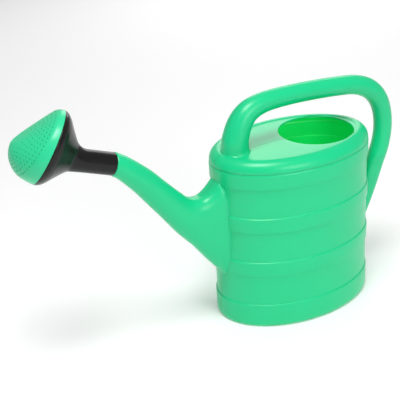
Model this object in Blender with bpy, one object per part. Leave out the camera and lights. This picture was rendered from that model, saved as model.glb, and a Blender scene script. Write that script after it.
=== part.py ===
"""Ten-litre watering can: a blow-moulded tank, spout and handle, with a push-on rose.

The can stands on z = 0 with the middle of its base at the origin. The spout points
along -X and the plane y = 0 cuts the tank, the spout and the handle in half. The rose
is a turned elbow, so its round face looks up and a little to one side.
"""

import math

import bmesh
import bpy
from mathutils import Vector

# ---------------------------------------------------------------- driving dimensions, metres
PART_GAP = 0.0003

TANK_HALF_LENGTH = 0.1340
TANK_HALF_WIDTH = 0.0900
TANK_HEIGHT = 0.2800
TANK_WALL = 0.0034
TANK_FLOOR = 0.0026
TANK_SEGMENTS = 64
BASE_ROUND = 0.0100
BAND_RELIEF = 0.0018
BAND_BEVEL = 0.0016
GROOVE_WIDTH = 0.0006
BANDS = ((0.0921, 0.1143), (0.1664, 0.1887), (0.2378, 0.2593))
BASE_BAND_TOP = 0.0390
ROLL_WIDTH = 0.0178
ROLL_FOOT_INSET = 0.0007
DECK_MARGIN = 0.0045
DECK_DROP = 0.0010
DECK_THICKNESS = 0.0028

FILL_HOLE_X = 0.0486
FILL_HOLE_RADIUS = 0.0585
FILL_HOLE_SIDES = 48
HOLE_CUT_DEPTH = 0.0200

HANDLE_WALL = 0.0025
HANDLE_SIDES = 20
AIR_HOLE_RADIUS = 0.0120
AIR_HOLE_SIDES = 24

SPOUT_WALL = 0.0024
SPOUT_SIDES = 32
SLEEVE_PITCH = math.radians(20.7)
SLEEVE_MOUTH = Vector((-0.2904, 0.0, 0.3092))
SPIGOT_LENGTH = 0.0340
SPIGOT_RADIUS = 0.0134
CUT_OVERRUN = 0.0050

SLEEVE_RADIUS = 0.0165
SLEEVE_BORE = 0.0138
SLEEVE_LENGTH = 0.0516
SLEEVE_LIP = 0.0010
SLEEVE_STOP = 0.0380
SLEEVE_STRAIGHT = 0.0438
STOP_BORE = 0.0112
ELBOW_BORE_STEP = 0.0015
ROSE_BEND = math.radians(20.5)
ROSE_TURN = math.radians(52.0)
ROSE_SIDES = 48
HOUSING_DEPTH = 0.0447
HOUSING_WALL = 0.0020
RIM_RADIUS = 0.0545
BELL_STEPS = 8
BELL_LENGTH = 0.0360
BELL_EDGE = 0.0120
BELL_EDGE_DROP = 0.0070
BELL_SLOPE = 1.28
BELL_EASE = 0.0035
NECK_MARGIN = 0.0006

FACE_SHOULDER = 0.0072
FACE_SHOULDER_POWER = 40.0
FACE_RISE = 0.0408
FACE_LEAN = 0.0157
FACE_STEPS = 11
FACE_WALL = 0.0018
SKIRT_DEPTH = 0.0060
SKIRT_CLEARANCE = 0.0008
SKIRT_LEDGE = 0.0020
SPRAY_HOLE_RADIUS = 0.0008
SPRAY_HOLE_SIDES = 6
SPRAY_PIN_LENGTH = 0.0160
# Rings of spray holes: share of the rim's radius, and how many holes.
SPRAY_RINGS = ((0.42, 12), (0.58, 18), (0.74, 24), (0.90, 30))

# Directions along the spout's sleeve and along the rose, both pointing outwards.
SLEEVE_AXIS = Vector((-math.cos(SLEEVE_PITCH), 0.0, math.sin(SLEEVE_PITCH)))
SLEEVE_UP = Vector((math.sin(SLEEVE_PITCH), 0.0, math.cos(SLEEVE_PITCH)))
SLEEVE_SIDE = SLEEVE_AXIS.cross(SLEEVE_UP)
BEND_SIDE = math.cos(ROSE_TURN) * SLEEVE_UP + math.sin(ROSE_TURN) * SLEEVE_SIDE
ROSE_AXIS = math.cos(ROSE_BEND) * SLEEVE_AXIS + math.sin(ROSE_BEND) * BEND_SIDE
ROSE_SIDE = ROSE_AXIS.cross(Vector((0.0, 0.0, 1.0))).normalized()
ROSE_UP = ROSE_SIDE.cross(ROSE_AXIS)
ELBOW = SLEEVE_MOUTH + SLEEVE_LENGTH * SLEEVE_AXIS
RIM_CENTRE = ELBOW + HOUSING_DEPTH * ROSE_AXIS


# ---------------------------------------------------------------- scene and materials
for old in list(bpy.data.objects):
    bpy.data.objects.remove(old, do_unlink=True)

can_parts = bpy.data.collections.new("watering_can")
cutters = bpy.data.collections.new("cutters")
bpy.context.scene.collection.children.link(can_parts)
bpy.context.scene.collection.children.link(cutters)


def plastic(name, colour, roughness):
    """A moulded plastic of one colour."""
    material = bpy.data.materials.new(name)
    material.use_nodes = True
    shader = material.node_tree.nodes["Principled BSDF"]
    shader.inputs["Base Color"].default_value = (*colour, 1.0)
    shader.inputs["Roughness"].default_value = roughness
    shader.inputs["Metallic"].default_value = 0.0
    return material


TANK_GREEN = plastic("tank_green", (0.027, 0.62, 0.27), 0.38)
SPOUT_GREEN = plastic("spout_green", (0.027, 0.60, 0.26), 0.38)
HANDLE_GREEN = plastic("handle_green", (0.027, 0.61, 0.27), 0.36)
HOUSING_BLACK = plastic("housing_black", (0.012, 0.012, 0.012), 0.32)
FACE_GREEN = plastic("face_green", (0.035, 0.66, 0.30), 0.30)


# ---------------------------------------------------------------- making solids
def add_part(name, mesh, material):
    """Put a mesh in the watering can's collection, smooth but for its sharp edges."""
    part = bpy.data.objects.new(name, mesh)
    mesh.materials.append(material)
    mesh.shade_smooth()
    mesh.set_sharp_from_angle(angle=math.radians(35.0))
    can_parts.objects.link(part)
    return part


def add_cutter(name, mesh):
    """Put a mesh among the cutters, which are guides and not part of the can."""
    cutter = bpy.data.objects.new(name, mesh)
    cutter.hide_render = True
    cutter.display_type = "WIRE"
    cutters.objects.link(cutter)
    return cutter


def subtract(part, cutter):
    """Cut one solid out of another with a live Boolean."""
    cut = part.modifiers.new("cut_" + cutter.name, "BOOLEAN")
    cut.operation = "DIFFERENCE"
    cut.object = cutter


def loft(name, rings):
    """Join closed rings of points, end to end, into one capped solid facing outwards."""
    shape = bmesh.new()
    rows = [[shape.verts.new(point) for point in ring] for ring in rings]
    for first, second in zip(rows, rows[1:]):
        for i in range(len(first)):
            j = (i + 1) % len(first)
            shape.faces.new((first[i], first[j], second[j], second[i]))
    shape.faces.new(list(reversed(rows[0])))
    shape.faces.new(rows[-1])
    bmesh.ops.recalc_face_normals(shape, faces=shape.faces)
    mesh = bpy.data.meshes.new(name)
    shape.to_mesh(mesh)
    shape.free()
    return mesh


def section(centre, side, up, half_side, half_up, power, count):
    """A rounded section: a circle or ellipse at power 2, squarer above it."""
    points = []
    for i in range(count):
        turn = 2.0 * math.pi * i / count
        cosine, sine = math.cos(turn), math.sin(turn)
        across = math.copysign(abs(cosine) ** (2.0 / power), cosine) * half_side
        along = math.copysign(abs(sine) ** (2.0 / power), sine) * half_up
        points.append(centre + across * side + along * up)
    return points


# ---------------------------------------------------------------- tank
def oval(z, inset):
    """One level ring of the tank, its ellipse drawn in by the inset."""
    return section(
        Vector((0.0, 0.0, z)),
        Vector((1.0, 0.0, 0.0)),
        Vector((0.0, 1.0, 0.0)),
        TANK_HALF_LENGTH - inset,
        TANK_HALF_WIDTH - inset,
        2.0,
        TANK_SEGMENTS,
    )


def tank_levels():
    """Heights and insets of the outside: rounded base, raised bands, rolled shoulder."""
    levels = []
    for degrees in (90.0, 60.0, 30.0, 0.0):
        turn = math.radians(degrees)
        levels.append((BASE_ROUND * (1.0 - math.sin(turn)), BASE_ROUND * (1.0 - math.cos(turn))))
    levels += [(BASE_BAND_TOP, 0.0), (BASE_BAND_TOP + BAND_BEVEL, BAND_RELIEF)]
    for low, high in BANDS:
        levels += [(low - BAND_BEVEL, BAND_RELIEF), (low, 0.0)]
        levels += [(high, 0.0), (high + BAND_BEVEL, BAND_RELIEF)]
    roll_start = levels[-1][0] + GROOVE_WIDTH
    roll_height = TANK_HEIGHT - roll_start
    for degrees in range(0, 91, 15):
        turn = math.radians(degrees)
        inset = ROLL_FOOT_INSET + ROLL_WIDTH * (1.0 - math.cos(turn))
        levels.append((roll_start + roll_height * math.sin(turn), inset))
    levels.append((TANK_HEIGHT - DECK_DROP, ROLL_WIDTH + DECK_MARGIN))
    return levels


def tank_outside(name, swell):
    """The tank's outer solid, or a jacket that stands off it by the swell."""
    rings = [oval(z, inset - swell) for z, inset in tank_levels()]
    if swell:
        rings[-1] = [point + Vector((0.0, 0.0, swell)) for point in rings[-1]]
        rings[-2] = [point + Vector((0.0, 0.0, swell)) for point in rings[-2]]
    return loft(name, rings)


def deck_punch(name, x, radius, sides):
    """A cutter for a round hole through the deck, on the can's middle line."""
    middle = Vector((x, 0.0, TANK_HEIGHT))
    rings = []
    for z in (-0.5 * HOLE_CUT_DEPTH, 0.5 * HOLE_CUT_DEPTH):
        centre = middle + Vector((0.0, 0.0, z))
        east, north = Vector((1.0, 0.0, 0.0)), Vector((0.0, 1.0, 0.0))
        rings.append(section(centre, east, north, radius, radius, 2.0, sides))
    return add_cutter(name, loft(name, rings))


cavity_top = TANK_HEIGHT - DECK_DROP - DECK_THICKNESS
cavity_levels = (
    (TANK_FLOOR, BASE_ROUND + TANK_WALL),
    (TANK_FLOOR + 0.3 * BASE_ROUND, 0.6 * BASE_ROUND),
    (TANK_FLOOR + BASE_ROUND, TANK_WALL),
    (BANDS[-1][1] + BAND_BEVEL, TANK_WALL),
    (cavity_top - 0.25 * ROLL_WIDTH, TANK_WALL + 0.3 * ROLL_WIDTH),
    (cavity_top, TANK_WALL + ROLL_WIDTH),
)
cavity_rings = [oval(z, inset) for z, inset in cavity_levels]
tank_cavity = add_cutter("tank_cavity", loft("tank_cavity", cavity_rings))
fill_hole = deck_punch("fill_hole", FILL_HOLE_X, FILL_HOLE_RADIUS, FILL_HOLE_SIDES)

tank = add_part("tank", tank_outside("tank", 0.0), TANK_GREEN)
tank_jacket = add_cutter("tank_jacket", tank_outside("tank_jacket", PART_GAP))


# ---------------------------------------------------------------- spout
# Each station: x, z, pitch of the spout there in degrees, half height, half width, squareness.
SPOUT_STATIONS = (
    (-0.2749, 0.2978, 40.0, 0.0174, 0.0172, 2.0),
    (-0.2496, 0.2722, 47.0, 0.0195, 0.0180, 2.0),
    (-0.2290, 0.2470, 51.0, 0.0212, 0.0188, 2.0),
    (-0.2080, 0.2215, 47.0, 0.0232, 0.0198, 2.1),
    (-0.1925, 0.2030, 35.0, 0.0268, 0.0210, 2.3),
    (-0.1700, 0.1840, 14.0, 0.0390, 0.0228, 2.8),
    (-0.1490, 0.1700, 4.0, 0.0600, 0.0250, 3.2),
    (-0.1310, 0.1630, 0.0, 0.0800, 0.0275, 3.4),
    (-0.1050, 0.1630, 0.0, 0.0830, 0.0280, 3.4),
)
SHOULDER_RADIUS = 0.0172


def spout_rings(thinner, spigot_end, root_end):
    """Rings of the spout from its tip to the tank, all drawn in by the same wall."""
    side = Vector((0.0, 1.0, 0.0))
    rings = []
    for along, radius in ((spigot_end, SPIGOT_RADIUS), (-2.0 * PART_GAP, SPIGOT_RADIUS)):
        centre = SLEEVE_MOUTH + along * SLEEVE_AXIS
        radius -= thinner
        rings.append(section(centre, side, SLEEVE_UP, radius, radius, 2.0, SPOUT_SIDES))
    if not thinner:
        shoulder = SLEEVE_MOUTH - 2.0 * PART_GAP * SLEEVE_AXIS
        rings.append(
            section(shoulder, side, SLEEVE_UP, SHOULDER_RADIUS, SHOULDER_RADIUS, 2.0, SPOUT_SIDES)
        )
    for x, z, pitch, half_height, half_width, power in SPOUT_STATIONS[: root_end]:
        turn = math.radians(pitch)
        up = Vector((math.sin(turn), 0.0, math.cos(turn)))
        centre = Vector((x, 0.0, z))
        rings.append(
            section(centre, side, up, half_width - thinner, half_height - thinner, power, SPOUT_SIDES)
        )
    return rings


spout = add_part("spout", loft("spout", spout_rings(0.0, SPIGOT_LENGTH, -1)), SPOUT_GREEN)
spout_bore = add_cutter(
    "spout_bore",
    loft("spout_bore", spout_rings(SPOUT_WALL, SPIGOT_LENGTH + CUT_OVERRUN, len(SPOUT_STATIONS))),
)
subtract(spout, spout_bore)
subtract(spout, tank_jacket)


# ---------------------------------------------------------------- handle
# Route of the handle's middle line: x, z, radius. It starts on the deck behind the spout.
HANDLE_ROUTE = (
    (-0.0965, 0.2700, 0.0225),
    (-0.0960, 0.2850, 0.0208),
    (-0.0945, 0.2990, 0.0203),
    (-0.0850, 0.3220, 0.0188),
    (-0.0690, 0.3375, 0.0170),
    (-0.0420, 0.3450, 0.0155),
    (0.0000, 0.3462, 0.0149),
    (0.0450, 0.3445, 0.0149),
    (0.0900, 0.3408, 0.0150),
    (0.1220, 0.3360, 0.0153),
    (0.1480, 0.3245, 0.0157),
    (0.1660, 0.3060, 0.0155),
    (0.1760, 0.2820, 0.0150),
    (0.1790, 0.2540, 0.0148),
    (0.1755, 0.2270, 0.0148),
    (0.1670, 0.2010, 0.0150),
    (0.1560, 0.1690, 0.0150),
    (0.1430, 0.1350, 0.0145),
    (0.1250, 0.0950, 0.0140),
)


def smooth_route(route, per_span):
    """Points on a Catmull-Rom curve through a route, with the radius carried along."""
    padded = [route[0], *route, route[-1]]
    points = []
    for a, b, c, d in zip(padded, padded[1:], padded[2:], padded[3:]):
        for step in range(per_span):
            t = step / per_span
            points.append(
                tuple(
                    0.5
                    * (
                        2.0 * q
                        + (r - p) * t
                        + (2.0 * p - 5.0 * q + 4.0 * r - s) * t * t
                        + (3.0 * q - p - 3.0 * r + s) * t**3
                    )
                    for p, q, r, s in zip(a, b, c, d)
                )
            )
    return points + [route[-1]]


def tube(name, route, thinner, sides):
    """A round tube of changing radius along a route, as a mesh with welded caps."""
    curve = bpy.data.curves.new(name, "CURVE")
    curve.dimensions = "3D"
    curve.bevel_depth = 1.0
    curve.bevel_resolution = sides // 4 - 1
    curve.render_resolution_u = 0
    curve.use_fill_caps = True
    spline = curve.splines.new("POLY")
    points = smooth_route(route, 2)
    spline.points.add(len(points) - 1)
    for spot, (x, z, radius) in zip(spline.points, points):
        spot.co = (x, 0.0, z, 1.0)
        spot.radius = radius - thinner
    guide = bpy.data.objects.new(name + "_curve", curve)
    bpy.context.scene.collection.objects.link(guide)
    evaluated = guide.evaluated_get(bpy.context.evaluated_depsgraph_get())
    mesh = bpy.data.meshes.new_from_object(evaluated)
    bpy.data.objects.remove(guide, do_unlink=True)
    shape = bmesh.new()
    shape.from_mesh(mesh)
    bmesh.ops.remove_doubles(shape, verts=shape.verts, dist=0.00001)
    bmesh.ops.recalc_face_normals(shape, faces=shape.faces)
    shape.to_mesh(mesh)
    shape.free()
    mesh.name = name
    return mesh


handle = add_part("handle", tube("handle", HANDLE_ROUTE, 0.0, HANDLE_SIDES), HANDLE_GREEN)
handle_hollow = add_cutter(
    "handle_hollow",
    tube("handle_hollow", HANDLE_ROUTE[:-3], HANDLE_WALL, HANDLE_SIDES - 4),
)
subtract(handle, handle_hollow)
subtract(handle, tank_jacket)

air_hole = deck_punch("air_hole", HANDLE_ROUTE[0][0], AIR_HOLE_RADIUS, AIR_HOLE_SIDES)
for opening in (tank_cavity, fill_hole, air_hole, spout_bore):
    subtract(tank, opening)


# ---------------------------------------------------------------- rose housing
def housing_radius(back):
    """Radius of the flared bell at a distance back from the rim, easing into the neck."""
    if back < BELL_EDGE:
        return RIM_RADIUS - BELL_EDGE_DROP * (back / BELL_EDGE) ** 2
    straight = RIM_RADIUS - BELL_EDGE_DROP - BELL_SLOPE * (back - BELL_EDGE)
    neck = SLEEVE_RADIUS + NECK_MARGIN
    gap = straight - neck
    return neck + 0.5 * (gap + math.sqrt(gap * gap + 4.0 * BELL_EASE * BELL_EASE))


def rose_ring(centre, axis_blend, radius):
    """A ring square to the sleeve at blend 0 and square to the rose at blend 1."""
    axis = SLEEVE_AXIS.lerp(ROSE_AXIS, axis_blend).normalized()
    side = axis.cross(Vector((0.0, 0.0, 1.0))).normalized()
    up = side.cross(axis)
    return section(centre, side, up, radius, radius, 2.0, ROSE_SIDES)


def housing_bell(thinner, front):
    """Rings of the bell from the elbow to the rim and a little way past it."""
    rings = []
    for step in range(BELL_STEPS):
        back = BELL_LENGTH * (1.0 - step / BELL_STEPS)
        centre = RIM_CENTRE - back * ROSE_AXIS
        rings.append(rose_ring(centre, 1.0, housing_radius(back) - thinner))
    rings.append(rose_ring(RIM_CENTRE + front * ROSE_AXIS, 1.0, RIM_RADIUS - thinner))
    return rings


elbow_radius = housing_radius(HOUSING_DEPTH)
housing_outside = [
    rose_ring(SLEEVE_MOUTH, 0.0, SLEEVE_RADIUS - SLEEVE_LIP),
    rose_ring(SLEEVE_MOUTH + SLEEVE_LIP * SLEEVE_AXIS, 0.0, SLEEVE_RADIUS),
    rose_ring(SLEEVE_MOUTH + SLEEVE_STRAIGHT * SLEEVE_AXIS, 0.0, SLEEVE_RADIUS),
    rose_ring(ELBOW, 0.5, elbow_radius),
    *housing_bell(0.0, 0.0),
]
housing_inside = [
    rose_ring(SLEEVE_MOUTH - CUT_OVERRUN * SLEEVE_AXIS, 0.0, SLEEVE_BORE),
    rose_ring(SLEEVE_MOUTH + SLEEVE_STOP * SLEEVE_AXIS, 0.0, SLEEVE_BORE),
    rose_ring(SLEEVE_MOUTH + SLEEVE_STOP * SLEEVE_AXIS, 0.0, STOP_BORE),
    rose_ring(SLEEVE_MOUTH + SLEEVE_STRAIGHT * SLEEVE_AXIS, 0.0, STOP_BORE),
    rose_ring(ELBOW, 0.5, elbow_radius - HOUSING_WALL - ELBOW_BORE_STEP),
    *housing_bell(HOUSING_WALL, CUT_OVERRUN),
]
rose_housing = add_part("rose_housing", loft("rose_housing", housing_outside), HOUSING_BLACK)
subtract(rose_housing, add_cutter("housing_hollow", loft("housing_hollow", housing_inside)))


# ---------------------------------------------------------------- rose face
def face_point(reach, turn, thinner):
    """A point on the domed face: reach 1 is its edge and reach 0 its crown.

    A short shoulder stands on the rim. Above it the crown leans away from ROSE_UP, so
    the dome is straight as a cone on its upper side and round as a ball on its lower.
    """
    sideways, upward = math.cos(turn), math.sin(turn)
    roundness = 0.5 * (1.0 - upward)
    shoulder = FACE_SHOULDER * (1.0 - reach**FACE_SHOULDER_POWER)
    rise = FACE_RISE * (1.0 - reach ** (1.0 + roundness)) ** (1.0 - 0.5 * roundness)
    shrink = 1.0 - thinner / (FACE_SHOULDER + FACE_RISE)
    radius = (RIM_RADIUS - thinner) * reach
    return (
        RIM_CENTRE
        + radius * sideways * ROSE_SIDE
        + (radius * upward - FACE_LEAN * (1.0 - reach)) * ROSE_UP
        + (PART_GAP + (shoulder + rise) * shrink) * ROSE_AXIS
    )


def dome_rings(thinner):
    """Rings of the dome from its edge to just short of the crown."""
    steps = [1.0 - step / FACE_STEPS for step in range(FACE_STEPS)]
    reaches = [math.sin(0.5 * math.pi * step) for step in steps]
    turns = [2.0 * math.pi * i / ROSE_SIDES for i in range(ROSE_SIDES)]
    return [[face_point(reach, turn, thinner) for turn in turns] for reach in reaches]


skirt_radius = RIM_RADIUS - HOUSING_WALL - SKIRT_CLEARANCE
skirt_back = RIM_CENTRE - SKIRT_DEPTH * ROSE_AXIS
skirt_end = housing_radius(SKIRT_DEPTH) - HOUSING_WALL - SKIRT_CLEARANCE
face_outside = [
    rose_ring(skirt_back, 1.0, skirt_end),
    rose_ring(RIM_CENTRE + PART_GAP * ROSE_AXIS, 1.0, skirt_radius),
    *dome_rings(0.0),
]
face_inside = [
    rose_ring(skirt_back - CUT_OVERRUN * ROSE_AXIS, 1.0, skirt_end - FACE_WALL),
    rose_ring(RIM_CENTRE - SKIRT_LEDGE * ROSE_AXIS, 1.0, skirt_end - FACE_WALL),
    *dome_rings(FACE_WALL + HOUSING_WALL)[1:],
]
rose_face = add_part("rose_face", loft("rose_face", face_outside), FACE_GREEN)
subtract(rose_face, add_cutter("face_hollow", loft("face_hollow", face_inside)))


def spray_pins():
    """Thin pins, in rings about the crown, that pierce the dome along the rose's axis."""
    pins = bmesh.new()
    for reach, count in SPRAY_RINGS:
        for i in range(count):
            placement = ROSE_AXIS.to_track_quat("Z", "Y").to_matrix().to_4x4()
            placement.translation = face_point(reach, 2.0 * math.pi * i / count, 0.0)
            bmesh.ops.create_cone(
                pins,
                cap_ends=True,
                segments=SPRAY_HOLE_SIDES,
                radius1=SPRAY_HOLE_RADIUS,
                radius2=SPRAY_HOLE_RADIUS,
                depth=SPRAY_PIN_LENGTH,
                matrix=placement,
            )
    mesh = bpy.data.meshes.new("spray_pins")
    pins.to_mesh(mesh)
    pins.free()
    return mesh


subtract(rose_face, add_cutter("spray_pins", spray_pins()))
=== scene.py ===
"""The watering can's looks: one blow-moulded green body with a black and green push-on rose."""

import math

import bmesh
import bpy
import numpy as np
from mathutils import Matrix, Vector


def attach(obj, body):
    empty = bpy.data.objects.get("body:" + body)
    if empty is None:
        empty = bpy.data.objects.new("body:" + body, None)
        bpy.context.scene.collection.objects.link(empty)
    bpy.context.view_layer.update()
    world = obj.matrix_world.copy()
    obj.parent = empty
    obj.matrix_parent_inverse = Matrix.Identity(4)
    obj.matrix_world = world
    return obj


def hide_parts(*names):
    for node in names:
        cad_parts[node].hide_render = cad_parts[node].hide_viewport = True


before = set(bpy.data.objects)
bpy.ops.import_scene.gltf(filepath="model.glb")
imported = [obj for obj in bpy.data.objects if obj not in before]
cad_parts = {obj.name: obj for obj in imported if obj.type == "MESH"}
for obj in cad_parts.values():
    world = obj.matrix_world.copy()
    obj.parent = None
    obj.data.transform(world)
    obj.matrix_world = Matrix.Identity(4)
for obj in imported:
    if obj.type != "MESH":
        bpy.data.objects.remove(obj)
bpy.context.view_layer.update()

# Camera and stage. A still-life set: a wide pale sweep, and a camera with a long lens
# a little over a metre away, tipped down and rolled by a few degrees.
CAMERA_AT = Vector((-0.6922, -1.0777, 0.8078))
CAMERA_BACK = Vector((-0.3973, -0.8043, 0.4418)).normalized()
CAMERA_ROLL = math.radians(-3.9)
CAMERA_LENS = 80.8

level = CAMERA_BACK.to_track_quat("Z", "Y").to_matrix()
camera_data = bpy.data.cameras.new("camera")
camera_data.lens = CAMERA_LENS
camera_data.sensor_width = 36.0
camera_data.clip_start = 0.05
camera = bpy.data.objects.new("camera", camera_data)
rolled = level @ Matrix.Rotation(CAMERA_ROLL, 3, "Z")
camera.matrix_world = Matrix.Translation(CAMERA_AT) @ rolled.to_4x4()
bpy.context.scene.collection.objects.link(camera)
bpy.context.scene.camera = camera

FLOOR_HALF = 9.0
FLOOR_HEIGHT = -0.0004
floor_paint = bpy.data.materials.new("stage_white")
floor_paint.use_nodes = True
floor_shader = floor_paint.node_tree.nodes["Principled BSDF"]
floor_shader.inputs["Base Color"].default_value = (0.93, 0.93, 0.93, 1.0)
floor_shader.inputs["Roughness"].default_value = 0.9
floor_shader.inputs["Emission Color"].default_value = (1.0, 1.0, 1.0, 1.0)
floor_shader.inputs["Emission Strength"].default_value = 0.14
floor_mesh = bpy.data.meshes.new("floor")
floor_corners = [
    (across * FLOOR_HALF, along * FLOOR_HALF, FLOOR_HEIGHT)
    for across, along in ((-1, -1), (1, -1), (1, 1), (-1, 1))
]
floor_mesh.from_pydata(floor_corners, [], [(0, 1, 2, 3)])
floor_mesh.materials.append(floor_paint)
floor = bpy.data.objects.new("floor", floor_mesh)
bpy.context.scene.collection.objects.link(floor)

# Tank. The middle of the blow moulding: an oval drum with four raised bands, a rolled
# shoulder and a flat deck with the round fill hole cut out of it. Its wall is of one
# thickness, so the bands also show on the inside.
HALF_LENGTH = 0.1340
HALF_WIDTH = 0.0900
TANK_HEIGHT = 0.2800
TANK_WALL = 0.0019
RELIEF = 0.0018
BASE_ROUND = 0.0100
BANDS = ((0.0921, 0.1143), (0.1664, 0.1887), (0.2378, 0.2593))
BASE_BAND_TOP = 0.0390
HOLE_X = 0.0486
HOLE_RADIUS = 0.0583
DECK_HEIGHT = 0.2786
DECK_INSET = 0.0205
DECK_WALL = 0.0026
DECK_FALL = 0.011
DECK_RINGS = 22
TANK_COLUMNS = 288


def skin(name, rings, ends="poles"):
    """A mesh over a stack of rings of points, given as one array (ring, column, xyz).

    Each face joins two neighbours of one ring to the same two of the next. The ends are
    closed by one point each (poles), or the last ring is joined to the first (loop).
    """
    count, columns = rings.shape[:2]
    points = rings.reshape(-1, 3)
    column = np.arange(columns)
    after = (column + 1) % columns
    stack = np.arange(count if ends == "loop" else count - 1)
    low = (stack * columns)[:, None]
    high = (((stack + 1) % count) * columns)[:, None]
    quads = np.stack([low + column, low + after, high + after, high + column], -1).reshape(-1, 4)
    faces = quads.tolist()
    if ends == "poles":
        points = np.vstack([points, rings[0].mean(0), rings[-1].mean(0)])
        first, last = count * columns, count * columns + 1
        top = (count - 1) * columns
        faces += np.stack([np.full(columns, first), after, column], -1).tolist()
        faces += np.stack([top + column, top + after, np.full(columns, last)], -1).tolist()
    mesh = bpy.data.meshes.new(name)
    mesh.from_pydata(points.tolist(), [], faces)
    shape = bmesh.new()
    shape.from_mesh(mesh)
    bmesh.ops.recalc_face_normals(shape, faces=shape.faces)
    shape.to_mesh(mesh)
    shape.free()
    mesh.shade_smooth()
    piece = bpy.data.objects.new(name, mesh)
    bpy.context.scene.collection.objects.link(piece)
    return piece


def rounded(corners, steps=5):
    """A profile whose corners (across, along, radius) are eased into short curves.

    Each corner point is replaced by the parabola that touches both of its sides at the
    given distance from the corner. A radius of zero keeps the corner as one point.
    """
    corners = np.array(corners, float)
    line = [corners[0, :2]]
    for before, here, beyond in zip(corners, corners[1:], corners[2:]):
        if here[2] == 0.0:
            line.append(here[:2])
            continue
        towards = before[:2] - here[:2]
        away = beyond[:2] - here[:2]
        start = here[:2] + towards * min(0.5, here[2] / np.linalg.norm(towards))
        end = here[:2] + away * min(0.5, here[2] / np.linalg.norm(away))
        for t in np.linspace(0.0, 1.0, steps):
            line.append((1 - t) ** 2 * start + 2 * t * (1 - t) * here[:2] + t**2 * end)
    line.append(corners[-1, :2])
    return np.array(line)


def oval(inset, height):
    """Level ellipses, one per inset and height: x = (a - i) cos t, y = (b - i) sin t."""
    turn = np.linspace(0.0, 2.0 * np.pi, TANK_COLUMNS, endpoint=False)
    inset = np.asarray(inset)[:, None]
    height = np.asarray(height)[:, None] + 0.0 * turn
    return np.stack(
        [(HALF_LENGTH - inset) * np.cos(turn), (HALF_WIDTH - inset) * np.sin(turn), height], -1
    )


BAND_EDGE = 0.0005
BAND_TOP_BEVEL = 0.0015
BAND_LOW_BEVEL = 0.0006
BASE_EDGE = 1.15 * BASE_ROUND
ROLL_FOOT = BANDS[-1][1] + 0.0027
ROLL_START = 0.0006
ROLL_GAP = 0.0012

# The wall's line as (inset, height, radius), from the base up.
wall_corners = [(BASE_EDGE, 0.0, 0.0), (0.0, 0.0, BASE_ROUND), (0.0, BASE_BAND_TOP, BAND_EDGE)]
wall_corners += [(RELIEF, BASE_BAND_TOP + BAND_TOP_BEVEL, BAND_EDGE)]
for low, high in BANDS:
    wall_corners += [(RELIEF, low - BAND_LOW_BEVEL, BAND_EDGE), (0.0, low, BAND_EDGE)]
    wall_corners += [(0.0, high, BAND_EDGE), (RELIEF, high + BAND_TOP_BEVEL, BAND_EDGE)]
wall_line = rounded(wall_corners[:-1] + [(RELIEF + 0.0004, ROLL_FOOT, 0.0)])

roll_turn = np.radians(np.linspace(0.0, 96.0, 22))
roll_rise = TANK_HEIGHT - ROLL_FOOT - ROLL_GAP
roll_line = np.stack(
    [
        ROLL_START + (DECK_INSET - 0.0040) * (1.0 - np.cos(roll_turn)),
        ROLL_FOOT + ROLL_GAP + roll_rise * np.sin(roll_turn),
    ],
    -1,
)
outer_line = np.vstack([wall_line, roll_line])


def hole_ring(radius, height):
    """Circles about the fill hole, one per radius, whose points face the tank's columns."""
    rim = oval([DECK_INSET], [0.0])[0]
    turn = np.arctan2(rim[:, 1], rim[:, 0] - HOLE_X)
    radius = np.asarray(radius)[:, None]
    height = np.asarray(height)[:, None] + 0.0 * turn
    return np.stack([HOLE_X + radius * np.cos(turn), radius * np.sin(turn), height], -1)


def deck_height(x):
    """The deck is two planes that meet across the can, the front one falling forwards."""
    crease = HOLE_X - HOLE_RADIUS
    return DECK_HEIGHT - DECK_FALL * np.clip(crease - x, 0.0, None)


def deck(share, outer, inner, drop):
    """Rings from the shoulder to the fill hole: each point moves straight from one to the other."""
    share = np.asarray(share)[:, None, None]
    rings = (1.0 - share) * outer + share * inner
    rings[..., 2] = deck_height(rings[..., 0]) - drop
    return rings


lip = np.radians(np.linspace(0.0, 180.0, 9))
lip_rings = hole_ring(
    HOLE_RADIUS + DECK_WALL / 2 * (1.0 - np.sin(lip)),
    DECK_HEIGHT - DECK_WALL / 2 * (1.0 - np.cos(lip)),
)
deck_outer = oval([DECK_INSET], [0.0])
deck_inner = hole_ring([HOLE_RADIUS + DECK_WALL / 2], [0.0])
under_spread = np.linspace(0.15, 0.98, 6)[:, None]
under_rim = oval([BASE_EDGE], [0.0])[0]
inner_line = outer_line[::-1] + np.array([TANK_WALL, 0.0])
inner_line[:, 1] = np.clip(inner_line[:, 1], TANK_WALL, DECK_HEIGHT - DECK_WALL - 0.0004)
floor_rings = under_spread[::-1, :, None] * oval([BASE_EDGE + TANK_WALL], [0.0])
floor_rings[..., 2] = TANK_WALL

tank_rings = np.vstack(
    [
        under_spread[:, :, None] * under_rim[None],
        oval(outer_line[:, 0], outer_line[:, 1]),
        deck(np.linspace(0.0, 0.97, DECK_RINGS), deck_outer, deck_inner, 0.0),
        lip_rings,
        deck(np.linspace(0.9, 0.05, 8), deck_outer, deck_inner, DECK_WALL),
        oval(inner_line[:, 0], inner_line[:, 1]),
        floor_rings,
    ]
)
tank = skin("can_tank", tank_rings)


SEAM_HALF_WIDTH = 0.0005


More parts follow.
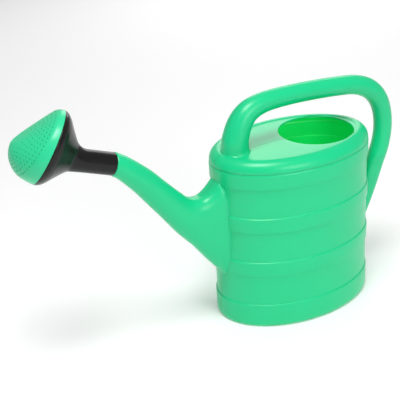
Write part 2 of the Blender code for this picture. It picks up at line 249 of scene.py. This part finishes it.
def skin_effect():
    """A node group for moulded plastic: slow colour drift, orange-peel grain, drag lines, a seam.

    Colour is mixed between two shades by a broad noise n, and roughness drifts with n - 0.5.
    Height is a fine noise, plus a tall narrow noise for the drag lines, plus a ridge
    exp(-(y / 0.5 mm)^2) where the two halves of the mould met. The ridge's colour is also
    darkened towards a dark green by its height times a strength: painted shade on the seam.
    """
    group = bpy.data.node_groups.new("moulded_skin", "ShaderNodeTree")
    face = group.interface
    for label, kind, value in (
        ("Shade", "NodeSocketColor", (0.03, 0.6, 0.26, 1.0)),
        ("Deep Shade", "NodeSocketColor", (0.02, 0.5, 0.2, 1.0)),
        ("Roughness", "NodeSocketFloat", 0.35),
        ("Roughness Drift", "NodeSocketFloat", 0.06),
        ("Grain Size", "NodeSocketFloat", 420.0),
        ("Grain Height", "NodeSocketFloat", 0.5),
        ("Seam Height", "NodeSocketFloat", 0.0),
        ("Seam Painted Shade", "NodeSocketColor", (0.0, 0.2, 0.1, 1.0)),
        ("Seam Painted Shade Strength", "NodeSocketFloat", 0.0),
    ):
        made = face.new_socket(name=label, in_out="INPUT", socket_type=kind)
        made.default_value = value
    face.new_socket(name="Colour", in_out="OUTPUT", socket_type="NodeSocketColor")
    face.new_socket(name="Roughness", in_out="OUTPUT", socket_type="NodeSocketFloat")
    face.new_socket(name="Height", in_out="OUTPUT", socket_type="NodeSocketFloat")
    nodes, links = group.nodes, group.links
    given = nodes.new("NodeGroupInput")
    result = nodes.new("NodeGroupOutput")
    place = nodes.new("ShaderNodeTexCoord")
    cloud = nodes.new("ShaderNodeTexNoise")
    cloud.inputs["Scale"].default_value = 9.0
    cloud.inputs["Detail"].default_value = 3.0
    grain = nodes.new("ShaderNodeTexNoise")
    grain.inputs["Detail"].default_value = 2.0
    streak_stretch = nodes.new("ShaderNodeMapping")
    streak_stretch.inputs["Scale"].default_value = (70.0, 70.0, 4.0)
    streak = nodes.new("ShaderNodeTexNoise")
    streak.inputs["Scale"].default_value = 1.0
    streak.inputs["Detail"].default_value = 2.0
    mix = nodes.new("ShaderNodeMix")
    mix.data_type = "RGBA"
    drift = nodes.new("ShaderNodeMath")
    drift.operation = "MULTIPLY_ADD"
    centred = nodes.new("ShaderNodeMath")
    centred.operation = "SUBTRACT"
    centred.inputs[1].default_value = 0.5
    tall = nodes.new("ShaderNodeMath")
    tall.operation = "MULTIPLY"
    total = nodes.new("ShaderNodeMath")
    total.operation = "MULTIPLY_ADD"
    total.inputs[1].default_value = 0.35
    links.new(place.outputs["Object"], cloud.inputs["Vector"])
    links.new(place.outputs["Object"], grain.inputs["Vector"])
    links.new(place.outputs["Object"], streak_stretch.inputs["Vector"])
    links.new(streak_stretch.outputs["Vector"], streak.inputs["Vector"])
    links.new(given.outputs["Grain Size"], grain.inputs["Scale"])
    links.new(cloud.outputs["Fac"], mix.inputs["Factor"])
    links.new(given.outputs["Shade"], mix.inputs[6])
    links.new(given.outputs["Deep Shade"], mix.inputs[7])
    links.new(cloud.outputs["Fac"], centred.inputs[0])
    links.new(centred.outputs[0], drift.inputs[0])
    links.new(given.outputs["Roughness Drift"], drift.inputs[1])
    links.new(given.outputs["Roughness"], drift.inputs[2])
    links.new(drift.outputs[0], result.inputs["Roughness"])
    links.new(grain.outputs["Fac"], tall.inputs[0])
    links.new(given.outputs["Grain Height"], tall.inputs[1])
    links.new(streak.outputs["Fac"], total.inputs[0])
    links.new(tall.outputs[0], total.inputs[2])
    axes = nodes.new("ShaderNodeSeparateXYZ")
    square = nodes.new("ShaderNodeMath")
    square.operation = "MULTIPLY"
    narrow = nodes.new("ShaderNodeMath")
    narrow.operation = "MULTIPLY"
    narrow.inputs[1].default_value = -1.0 / SEAM_HALF_WIDTH**2
    ridge = nodes.new("ShaderNodeMath")
    ridge.operation = "EXPONENT"
    seam = nodes.new("ShaderNodeMath")
    seam.operation = "MULTIPLY_ADD"
    links.new(place.outputs["Object"], axes.inputs[0])
    links.new(axes.outputs["Y"], square.inputs[0])
    links.new(axes.outputs["Y"], square.inputs[1])
    links.new(square.outputs[0], narrow.inputs[0])
    links.new(narrow.outputs[0], ridge.inputs[0])
    links.new(ridge.outputs[0], seam.inputs[0])
    links.new(given.outputs["Seam Height"], seam.inputs[1])
    links.new(total.outputs[0], seam.inputs[2])
    links.new(seam.outputs[0], result.inputs["Height"])
    # Painted shade: along the seam the colour is darkened by the ridge. The ridge's height is a
    # real bump, but its darker colour stands in for the ridge's shading.
    seam_shading = nodes.new("ShaderNodeMath")
    seam_shading.operation = "MULTIPLY"
    line = nodes.new("ShaderNodeMix")
    line.data_type = "RGBA"
    links.new(ridge.outputs[0], seam_shading.inputs[0])
    links.new(given.outputs["Seam Painted Shade Strength"], seam_shading.inputs[1])
    links.new(seam_shading.outputs[0], line.inputs["Factor"])
    links.new(mix.outputs[2], line.inputs[6])
    links.new(given.outputs["Seam Painted Shade"], line.inputs[7])
    links.new(line.outputs[2], result.inputs["Colour"])
    return group


moulded_skin = skin_effect()


def moulded(name, shade, deep_shade, roughness, grain_height, seam_height, bump, **constants):
    """A plastic whose colour, roughness and bump come from the shared moulded skin."""
    material = bpy.data.materials.new(name)
    material.use_nodes = True
    nodes, links = material.node_tree.nodes, material.node_tree.links
    shader = nodes["Principled BSDF"]
    effect = nodes.new("ShaderNodeGroup")
    effect.node_tree = moulded_skin
    effect.inputs["Shade"].default_value = (*shade, 1.0)
    effect.inputs["Deep Shade"].default_value = (*deep_shade, 1.0)
    effect.inputs["Roughness"].default_value = roughness
    effect.inputs["Grain Height"].default_value = grain_height
    effect.inputs["Seam Height"].default_value = seam_height
    # The seam's painted shade grows with its ridge height.
    effect.inputs["Seam Painted Shade Strength"].default_value = 0.35 * seam_height
    relief = nodes.new("ShaderNodeBump")
    relief.inputs["Strength"].default_value = bump
    relief.inputs["Distance"].default_value = 0.0004
    links.new(effect.outputs["Colour"], shader.inputs["Base Color"])
    links.new(effect.outputs["Roughness"], shader.inputs["Roughness"])
    links.new(effect.outputs["Height"], relief.inputs["Height"])
    links.new(relief.outputs["Normal"], shader.inputs["Normal"])
    for socket, value in constants.items():
        shader.inputs[socket.replace("_", " ")].default_value = value
    return material


can_green = moulded(
    "can_green",
    (0.006, 0.61, 0.262),
    (0.005, 0.58, 0.242),
    0.31,
    0.5,
    1.6,
    0.3,
    IOR=1.46,
    Subsurface_Weight=0.2,
    Subsurface_Radius=(0.3, 1.0, 0.6),
    Subsurface_Scale=0.006,
)
tank.data.materials.append(can_green)
# Painted light: the inner side is a lighter green with a faint green emission, standing in for
# daylight that comes through the thin wall.
can_inside_painted_glow = moulded(
    "can_inside_painted_glow",
    (0.010, 0.88, 0.20),
    (0.008, 0.84, 0.18),
    0.40,
    0.5,
    1.6,
    0.3,
    IOR=1.5,
    Emission_Color=(0.0, 1.0, 0.26, 1.0),
    Emission_Strength=0.09,
)
tank.data.materials.append(can_inside_painted_glow)

# The faces past the lip, and the floor's closing fan, are the inner side, which takes the painted
# glow.
outer_count = len(under_spread) + len(outer_line) + DECK_RINGS + len(lip) - 1
inside = np.zeros(len(tank.data.polygons), dtype=np.int32)
inside[outer_count * TANK_COLUMNS : (len(tank_rings) - 1) * TANK_COLUMNS] = 1
inside[-TANK_COLUMNS:] = 1
tank.data.polygons.foreach_set("material_index", inside)
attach(tank, "can")
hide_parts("tank")

# Spout. The moulding's front arm: a round tip that the rose pushes on to, a tube that
# grows and flattens as it comes down, and a flat-sided web that meets the tank's end.
SLEEVE_PITCH = math.radians(20.7)
SLEEVE_AXIS = np.array([-math.cos(SLEEVE_PITCH), 0.0, math.sin(SLEEVE_PITCH)])
SLEEVE_MOUTH = np.array([-0.2904, 0.0, 0.3092])
SPIGOT_RADIUS = 0.0134
SPOUT_WALL = 0.0020
SPOUT_COLUMNS = 96
SPIGOT_LENGTH = 0.0340
SPIGOT_CHAMFER = 0.0008
ROOT_FLARE = 0.0012
# x, z, pitch in degrees, half height, half width and squareness, from the shoulder down.
SPOUT_STATIONS = np.array(
    [
        (-0.2900, 0.3090, 21.0, 0.0171, 0.0171, 2.0),
        (-0.2749, 0.2978, 40.0, 0.0174, 0.0172, 2.0),
        (-0.2496, 0.2722, 47.0, 0.0195, 0.0180, 2.0),
        (-0.2290, 0.2470, 51.0, 0.0212, 0.0188, 2.0),
        (-0.2080, 0.2215, 47.0, 0.0232, 0.0198, 2.1),
        (-0.1925, 0.2030, 35.0, 0.0268, 0.0210, 2.3),
        (-0.1700, 0.1840, 14.0, 0.0390, 0.0228, 2.8),
        (-0.1490, 0.1700, 4.0, 0.0600, 0.0250, 3.2),
        (-0.1330, 0.1630, 0.0, 0.0785, 0.0266, 3.4),
    ]
)


def eased(stations, per_span):
    """Stations filled in by a Catmull-Rom curve: each span is a cubic whose slope at a
    station is half the step between that station's two neighbours."""
    padded = np.vstack([2 * stations[0] - stations[1], stations, 2 * stations[-1] - stations[-2]])
    t = np.linspace(0.0, 1.0, per_span, endpoint=False)[:, None, None]
    a, b, c, d = padded[:-3], padded[1:-2], padded[2:-1], padded[3:]
    spans = 0.5 * (
        2 * b + (c - a) * t + (2 * a - 5 * b + 4 * c - d) * t**2 + (3 * b - a - 3 * c + d) * t**3
    )
    return np.vstack([spans.transpose(1, 0, 2).reshape(-1, stations.shape[1]), stations[-1]])


def sections(centres, sides, ups, half_sides, half_ups, power, columns):
    """Closed sections along a path: cosine and sine to the power 2/p, scaled and placed."""
    turn = np.linspace(0.0, 2.0 * np.pi, columns, endpoint=False)
    power = np.asarray(power, float).reshape(-1, 1)
    across = np.sign(np.cos(turn)) * np.abs(np.cos(turn)) ** (2.0 / power)
    along = np.sign(np.sin(turn)) * np.abs(np.sin(turn)) ** (2.0 / power)
    across = across * np.asarray(half_sides, float).reshape(-1, 1)
    along = along * np.asarray(half_ups, float).reshape(-1, 1)
    return centres[:, None] + across[..., None] * sides[:, None] + along[..., None] * ups[:, None]


def spout_surface(thinner):
    """Rings of the spout from the spigot's end down to the tank's wall."""
    path = eased(SPOUT_STATIONS, 14)
    pitch = np.radians(path[:, 2])
    ups = np.stack([np.sin(pitch), 0 * pitch, np.cos(pitch)], -1)
    sides = np.tile([0.0, 1.0, 0.0], (len(path), 1))
    centres = np.stack([path[:, 0], 0 * pitch, path[:, 1]], -1)
    tube = sections(
        centres, sides, ups, path[:, 4] - thinner, path[:, 3] - thinner, path[:, 5], SPOUT_COLUMNS
    )
    spigot_reach = np.array([SPIGOT_LENGTH, SPIGOT_LENGTH - SPIGOT_CHAMFER, 0.0005])
    spigot_radius = SPIGOT_RADIUS - np.array([SPIGOT_CHAMFER, 0.0, 0.0]) - thinner
    up = np.array([math.sin(SLEEVE_PITCH), 0.0, math.cos(SLEEVE_PITCH)])
    spigot = sections(
        SLEEVE_MOUTH + spigot_reach[:, None] * SLEEVE_AXIS,
        np.tile([0.0, 1.0, 0.0], (3, 1)),
        np.tile(up, (3, 1)),
        spigot_radius,
        spigot_radius,
        2.0,
        SPOUT_COLUMNS,
    )
    return np.vstack([spigot, tube])


def root_flare(ring, flare):
    """A cove between the spout and the tank: a quarter circle that turns from the spout's
    direction into the tank's wall, its points spread outwards by 1 - cos."""
    y, z = ring[:, 1], ring[:, 2]
    spread = np.stack([np.roll(z, -1) - np.roll(z, 1), np.roll(y, 1) - np.roll(y, -1)], -1)
    spread /= np.linalg.norm(spread, axis=1)[:, None]
    turn = np.radians(np.linspace(0.0, 90.0, 9))[:, None]
    wide = y + spread[:, 0] * flare * (1.0 - np.cos(turn))
    tall = z + spread[:, 1] * flare * (1.0 - np.cos(turn))
    wall = -HALF_LENGTH * np.sqrt(1.0 - (wide / HALF_WIDTH) ** 2)
    out = wall + 0.0004 - flare * (1.0 - np.sin(turn))
    cove = np.stack([out, wide, tall], -1)
    toe = cove[-1:] + np.array([RELIEF + 0.0012, 0.0, 0.0])
    return np.vstack([cove, toe])


outer_tube = spout_surface(0.0)
inner_tube = spout_surface(SPOUT_WALL)
spout_rings = np.vstack(
    [outer_tube[:-1], root_flare(outer_tube[-1], ROOT_FLARE), inner_tube[::-1]]
)
spout = skin("can_spout", spout_rings, ends="loop")
spout.data.materials.append(can_green)
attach(spout, "can")
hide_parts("spout")

# Handle. The moulding's loop: a tube, thick where it stands on the deck, slimmer along the
# top, that runs down into the tank's back wall and is nipped flat there into a web.
HANDLE_COLUMNS = 72
FOOT_SPREAD = 0.0024
FOOT_FADE = 0.0022
FOOT_MOST = 0.0030
WEB_TOP = 0.2000
WEB_FADE = 0.0045
WEB_NIP = 0.0045
# x, z and radius along the middle line.
HANDLE_ROUTE = np.array(
    [
        (-0.0963, 0.2740, 0.0218),
        (-0.0961, 0.2790, 0.0214),
        (-0.0959, 0.2850, 0.0209),
        (-0.0945, 0.2990, 0.0203),
        (-0.0850, 0.3220, 0.0188),
        (-0.0690, 0.3375, 0.0170),
        (-0.0420, 0.3450, 0.0155),
        (0.0000, 0.3462, 0.0149),
        (0.0450, 0.3445, 0.0149),
        (0.0900, 0.3408, 0.0150),
        (0.1220, 0.3360, 0.0153),
        (0.1480, 0.3245, 0.0157),
        (0.1660, 0.3060, 0.0155),
        (0.1760, 0.2820, 0.0150),
        (0.1790, 0.2540, 0.0148),
        (0.1755, 0.2270, 0.0148),
        (0.1670, 0.2010, 0.0150),
        (0.1560, 0.1690, 0.0150),
        (0.1430, 0.1350, 0.0145),
        (0.1250, 0.0950, 0.0140),
    ]
)

handle_path = eased(HANDLE_ROUTE, 14)
heading = np.gradient(handle_path[:, :2], axis=0)
heading /= np.linalg.norm(heading, axis=1)[:, None]
handle_centres = np.stack([handle_path[:, 0], 0 * handle_path[:, 0], handle_path[:, 1]], -1)
handle_ups = np.stack([-heading[:, 1], 0 * heading[:, 0], heading[:, 0]], -1)
handle_sides = np.tile([0.0, -1.0, 0.0], (len(handle_path), 1))

# The foot's fillet fades away up the tube as exp(-(z - deck) / fade), and the web is a
# smooth step down the back leg.
foot = FOOT_SPREAD * np.exp(-(handle_path[:, 1] - 0.2780) / FOOT_FADE) * (handle_path[:, 0] < 0.0)
foot = np.clip(foot, 0.0, FOOT_MOST)
back_leg = handle_path[:, 0] > 0.1
web = back_leg / (1.0 + np.exp((handle_path[:, 1] - WEB_TOP) / WEB_FADE))
handle_rings = sections(
    handle_centres,
    handle_sides,
    handle_ups,
    handle_path[:, 2] + foot - WEB_NIP * web,
    handle_path[:, 2] + foot,
    2.0 + 0.5 * web,
    HANDLE_COLUMNS,
)
handle = skin("can_handle", handle_rings)
handle.data.materials.append(can_green)
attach(handle, "can")
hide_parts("handle")

# Rose housing. One black injection moulding: a sleeve that pushes on to the spout's tip,
# an elbow and a flared bell.
SLEEVE_RADIUS = 0.0165
SLEEVE_BORE = 0.0138
SLEEVE_LENGTH = 0.0516
HOUSING_DEPTH = 0.0447
HOUSING_WALL = 0.0020
RIM_RADIUS = 0.0545
ROSE_BEND = math.radians(20.5)
ROSE_TURN = math.radians(52.0)
ROSE_COLUMNS = 144
EDGE_DEPTH = 0.0120
EDGE_DROP = 0.0070
FLANK_SLOPE = 1.28
NECK_EASE = 0.0035
MOUTH_ROUND = 0.0012
BORE_DEPTH = 0.0380
BELL_START = 0.0360

sleeve_up = np.array([math.sin(SLEEVE_PITCH), 0.0, math.cos(SLEEVE_PITCH)])
sleeve_side = np.cross(SLEEVE_AXIS, sleeve_up)
bend_side = math.cos(ROSE_TURN) * sleeve_up + math.sin(ROSE_TURN) * sleeve_side
ROSE_AXIS = math.cos(ROSE_BEND) * SLEEVE_AXIS + math.sin(ROSE_BEND) * bend_side
rose_side = np.cross(ROSE_AXIS, [0.0, 0.0, 1.0])
rose_side /= np.linalg.norm(rose_side)
rose_up = np.cross(rose_side, ROSE_AXIS)
ELBOW = SLEEVE_MOUTH + SLEEVE_LENGTH * SLEEVE_AXIS
RIM_CENTRE = ELBOW + HOUSING_DEPTH * ROSE_AXIS


def bell_radius(back):
    """The bell's radius at a distance behind its rim: a rounded edge, a straight flank,
    and a hyperbola that eases the flank into the neck."""
    near = RIM_RADIUS - EDGE_DROP * (np.clip(back, 0.0, EDGE_DEPTH) / EDGE_DEPTH) ** 2
    flank = near - FLANK_SLOPE * np.clip(back - EDGE_DEPTH, 0.0, None)
    neck = SLEEVE_RADIUS + 0.0006
    gap = flank - neck
    eased_flank = neck + 0.5 * (gap + np.sqrt(gap**2 + 4.0 * NECK_EASE**2))
    return np.where(back < EDGE_DEPTH, near, eased_flank)


def turned_rings(centres, axes, radii):
    """Circles square to their own axes, with their first points kept in line."""
    sides = np.cross(axes, [0.0, 0.0, 1.0])
    sides /= np.linalg.norm(sides, axis=1)[:, None]
    ups = np.cross(sides, axes)
    return sections(centres, sides, ups, radii, radii, 2.0, ROSE_COLUMNS)


def housing_surface(thinner, bore):
    """Rings from the sleeve's mouth, round the elbow, to the bell's rim."""
    reach = np.concatenate([[0.0, 0.0004, MOUTH_ROUND], np.linspace(0.0030, 0.0410, 10)])
    sleeve_centres = SLEEVE_MOUTH + reach[:, None] * SLEEVE_AXIS
    sleeve_axes = np.tile(SLEEVE_AXIS, (len(reach), 1))
    short = 1.0 - np.clip(reach / MOUTH_ROUND, 0.0, 1.0)
    mouth = MOUTH_ROUND * (1.0 - np.sqrt(1.0 - short**2))
    sleeve_radii = np.where(reach < BORE_DEPTH, bore or SLEEVE_RADIUS, SLEEVE_RADIUS - thinner)
    sleeve_radii = sleeve_radii - (0.0 if bore else 1.0) * mouth
    bend = np.linspace(0.1, 1.0, 8)
    start, end = sleeve_centres[-1], RIM_CENTRE - BELL_START * ROSE_AXIS
    t = bend[:, None]
    bend_centres = (1 - t) ** 2 * start + 2 * t * (1 - t) * ELBOW + t**2 * end
    bend_axes = (1 - t) * SLEEVE_AXIS + t * ROSE_AXIS
    bend_axes /= np.linalg.norm(bend_axes, axis=1)[:, None]
    growth = bell_radius(np.array(BELL_START)) - SLEEVE_RADIUS
    bend_radii = SLEEVE_RADIUS + growth * bend**2 - thinner
    back = np.linspace(BELL_START, 0.0, 30)[1:]
    bell_centres = RIM_CENTRE - back[:, None] * ROSE_AXIS
    bell_axes = np.tile(ROSE_AXIS, (len(back), 1))
    return turned_rings(
        np.vstack([sleeve_centres, bend_centres, bell_centres]),
        np.vstack([sleeve_axes, bend_axes, bell_axes]),
        np.concatenate([sleeve_radii, bend_radii, bell_radius(back) - thinner]),
    )


housing_rings = np.vstack(
    [housing_surface(0.0, 0.0), housing_surface(HOUSING_WALL, SLEEVE_BORE)[::-1]]
)
housing = skin("rose_bell", housing_rings, ends="loop")
rose_black = moulded(
    "rose_black", (0.006, 0.006, 0.006), (0.009, 0.008, 0.008), 0.20, 0.3, 0.0, 0.15, IOR=1.35
)
housing.data.materials.append(rose_black)
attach(housing, "rose")
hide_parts("rose_housing")

# Rose face. A green injection-moulded dome with a skirt that presses into the bell's rim,
# pierced by rings of fine spray holes.
FACE_SHOULDER = 0.0072
FACE_RISE = 0.0408
FACE_LEAN = 0.0157
FACE_WALL = 0.0018
FACE_SEAT = 0.0003
SKIRT_DEPTH = 0.0060
SKIRT_PLAY = 0.0008
SPRAY_RADIUS = 0.0011
SPRAY_DEPTH = 0.0160
# The share of the way to the rim, and the number of holes, of each ring.
SPRAY_RINGS = ((0.42, 18), (0.50, 24), (0.58, 30), (0.66, 36), (0.74, 42), (0.82, 48), (0.90, 54))


def dome(reach, turn, thinner):
    """The dome's points. With r the reach and n = 0.5 (1 - sin t), the height is a
    shoulder S (1 - r^40) and a rise H (1 - r^(1+n))^(1-n/2), so the upper side is
    straight as a cone and the lower side is round as a ball; the crown leans by L (1 - r)."""
    reach, turn = np.broadcast_arrays(reach, turn)
    roundness = 0.5 * (1.0 - np.sin(turn))
    rise = FACE_RISE * (1.0 - reach ** (1.0 + roundness)) ** (1.0 - 0.5 * roundness)
    shrink = 1.0 - thinner / (FACE_SHOULDER + FACE_RISE)
    height = FACE_SEAT + shrink * (FACE_SHOULDER * (1.0 - reach**40.0) + rise)
    radius = (RIM_RADIUS - thinner) * reach
    return (
        RIM_CENTRE
        + (radius * np.cos(turn))[..., None] * rose_side
        + (radius * np.sin(turn) - FACE_LEAN * (1.0 - reach))[..., None] * rose_up
        + height[..., None] * ROSE_AXIS
    )


dome_reach = np.sin(np.radians(90.0 * (1.0 - np.linspace(0.0, 0.985, 64) ** 1.15)))[:, None]
dome_turn = np.linspace(0.0, 2.0 * np.pi, ROSE_COLUMNS, endpoint=False)
skirt_front = RIM_RADIUS - HOUSING_WALL - SKIRT_PLAY
skirt_back = bell_radius(np.array(SKIRT_DEPTH)) - HOUSING_WALL - SKIRT_PLAY
skirt_radii = np.array([skirt_back - FACE_WALL, skirt_back, skirt_front])
skirt_reach = np.array([-SKIRT_DEPTH, -SKIRT_DEPTH, FACE_SEAT])
skirt_rings = (
    RIM_CENTRE
    + skirt_reach[:, None, None] * ROSE_AXIS
    + (skirt_radii[:, None] * np.cos(dome_turn))[..., None] * rose_side
    + (skirt_radii[:, None] * np.sin(dome_turn))[..., None] * rose_up
)
inner_dome = dome(dome_reach[1:], dome_turn, FACE_WALL + HOUSING_WALL)
outer_dome = dome(dome_reach, dome_turn, 0.0)
face = skin("rose_dome", np.vstack([inner_dome[::-1], skirt_rings, outer_dome]))

spray_at = np.vstack(
    [
        dome(np.full(count, reach), np.linspace(0.0, 2.0 * np.pi, count, endpoint=False), 0.0)
        for reach, count in SPRAY_RINGS
    ]
)
# The holes are drilled along the rose's axis by a pin at each spot.
pins = bmesh.new()
for spot in spray_at:
    placement = Vector(ROSE_AXIS).to_track_quat("Z", "Y").to_matrix().to_4x4()
    placement.translation = Vector(spot)
    bmesh.ops.create_cone(
        pins,
        cap_ends=True,
        segments=10,
        radius1=SPRAY_RADIUS,
        radius2=SPRAY_RADIUS,
        depth=SPRAY_DEPTH,
        matrix=placement,
    )
pin_mesh = bpy.data.meshes.new("spray_pins")
pins.to_mesh(pin_mesh)
pins.free()
pin_object = bpy.data.objects.new("spray_pins", pin_mesh)
bpy.context.scene.collection.objects.link(pin_object)
drill = face.modifiers.new("drill", "BOOLEAN")
drill.object = pin_object
drill.operation = "DIFFERENCE"
drilled = bpy.data.meshes.new_from_object(face.evaluated_get(bpy.context.evaluated_depsgraph_get()))
face.modifiers.remove(drill)
bpy.data.objects.remove(pin_object, do_unlink=True)
face.data = drilled
drilled.shade_smooth()
drilled.set_sharp_from_angle(angle=math.radians(40.0))
face_green = moulded(
    "rose_green", (0.022, 0.64, 0.30), (0.018, 0.60, 0.28), 0.30, 0.3, 0.0, 0.15, IOR=1.5
)
face.data.materials.append(face_green)
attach(face, "face")
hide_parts("rose_face")

# Lights. A white tent, a soft key overhead, a broad front light beside the camera, and a
# bright panel behind the can that its flat deck and upward faces mirror.
world = bpy.data.worlds.new("tent")
world.use_nodes = True
world.node_tree.nodes["Background"].inputs["Color"].default_value = (1.0, 1.0, 1.0, 1.0)
world.node_tree.nodes["Background"].inputs["Strength"].default_value = 0.40
bpy.context.scene.world = world
for label, at, size, power in (
    ("key", (-0.45, -0.45, 1.9), 0.7, 21.0),
    ("front", (0.2, -2.4, 1.2), 1.2, 19.0),
    ("panel", (1.25, 1.95, 1.25), 1.5, 14.0),
):
    lamp = bpy.data.lights.new(label, "AREA")
    lamp.size = size
    lamp.energy = power
    light = bpy.data.objects.new(label, lamp)
    light.location = at
    light.rotation_mode = "QUATERNION"
    light.rotation_quaternion = (Vector(at) - Vector((-0.05, 0.0, 0.2))).to_track_quat("Z", "Y")
    bpy.context.scene.collection.objects.link(light)
bpy.context.scene.view_settings.view_transform = "Standard"
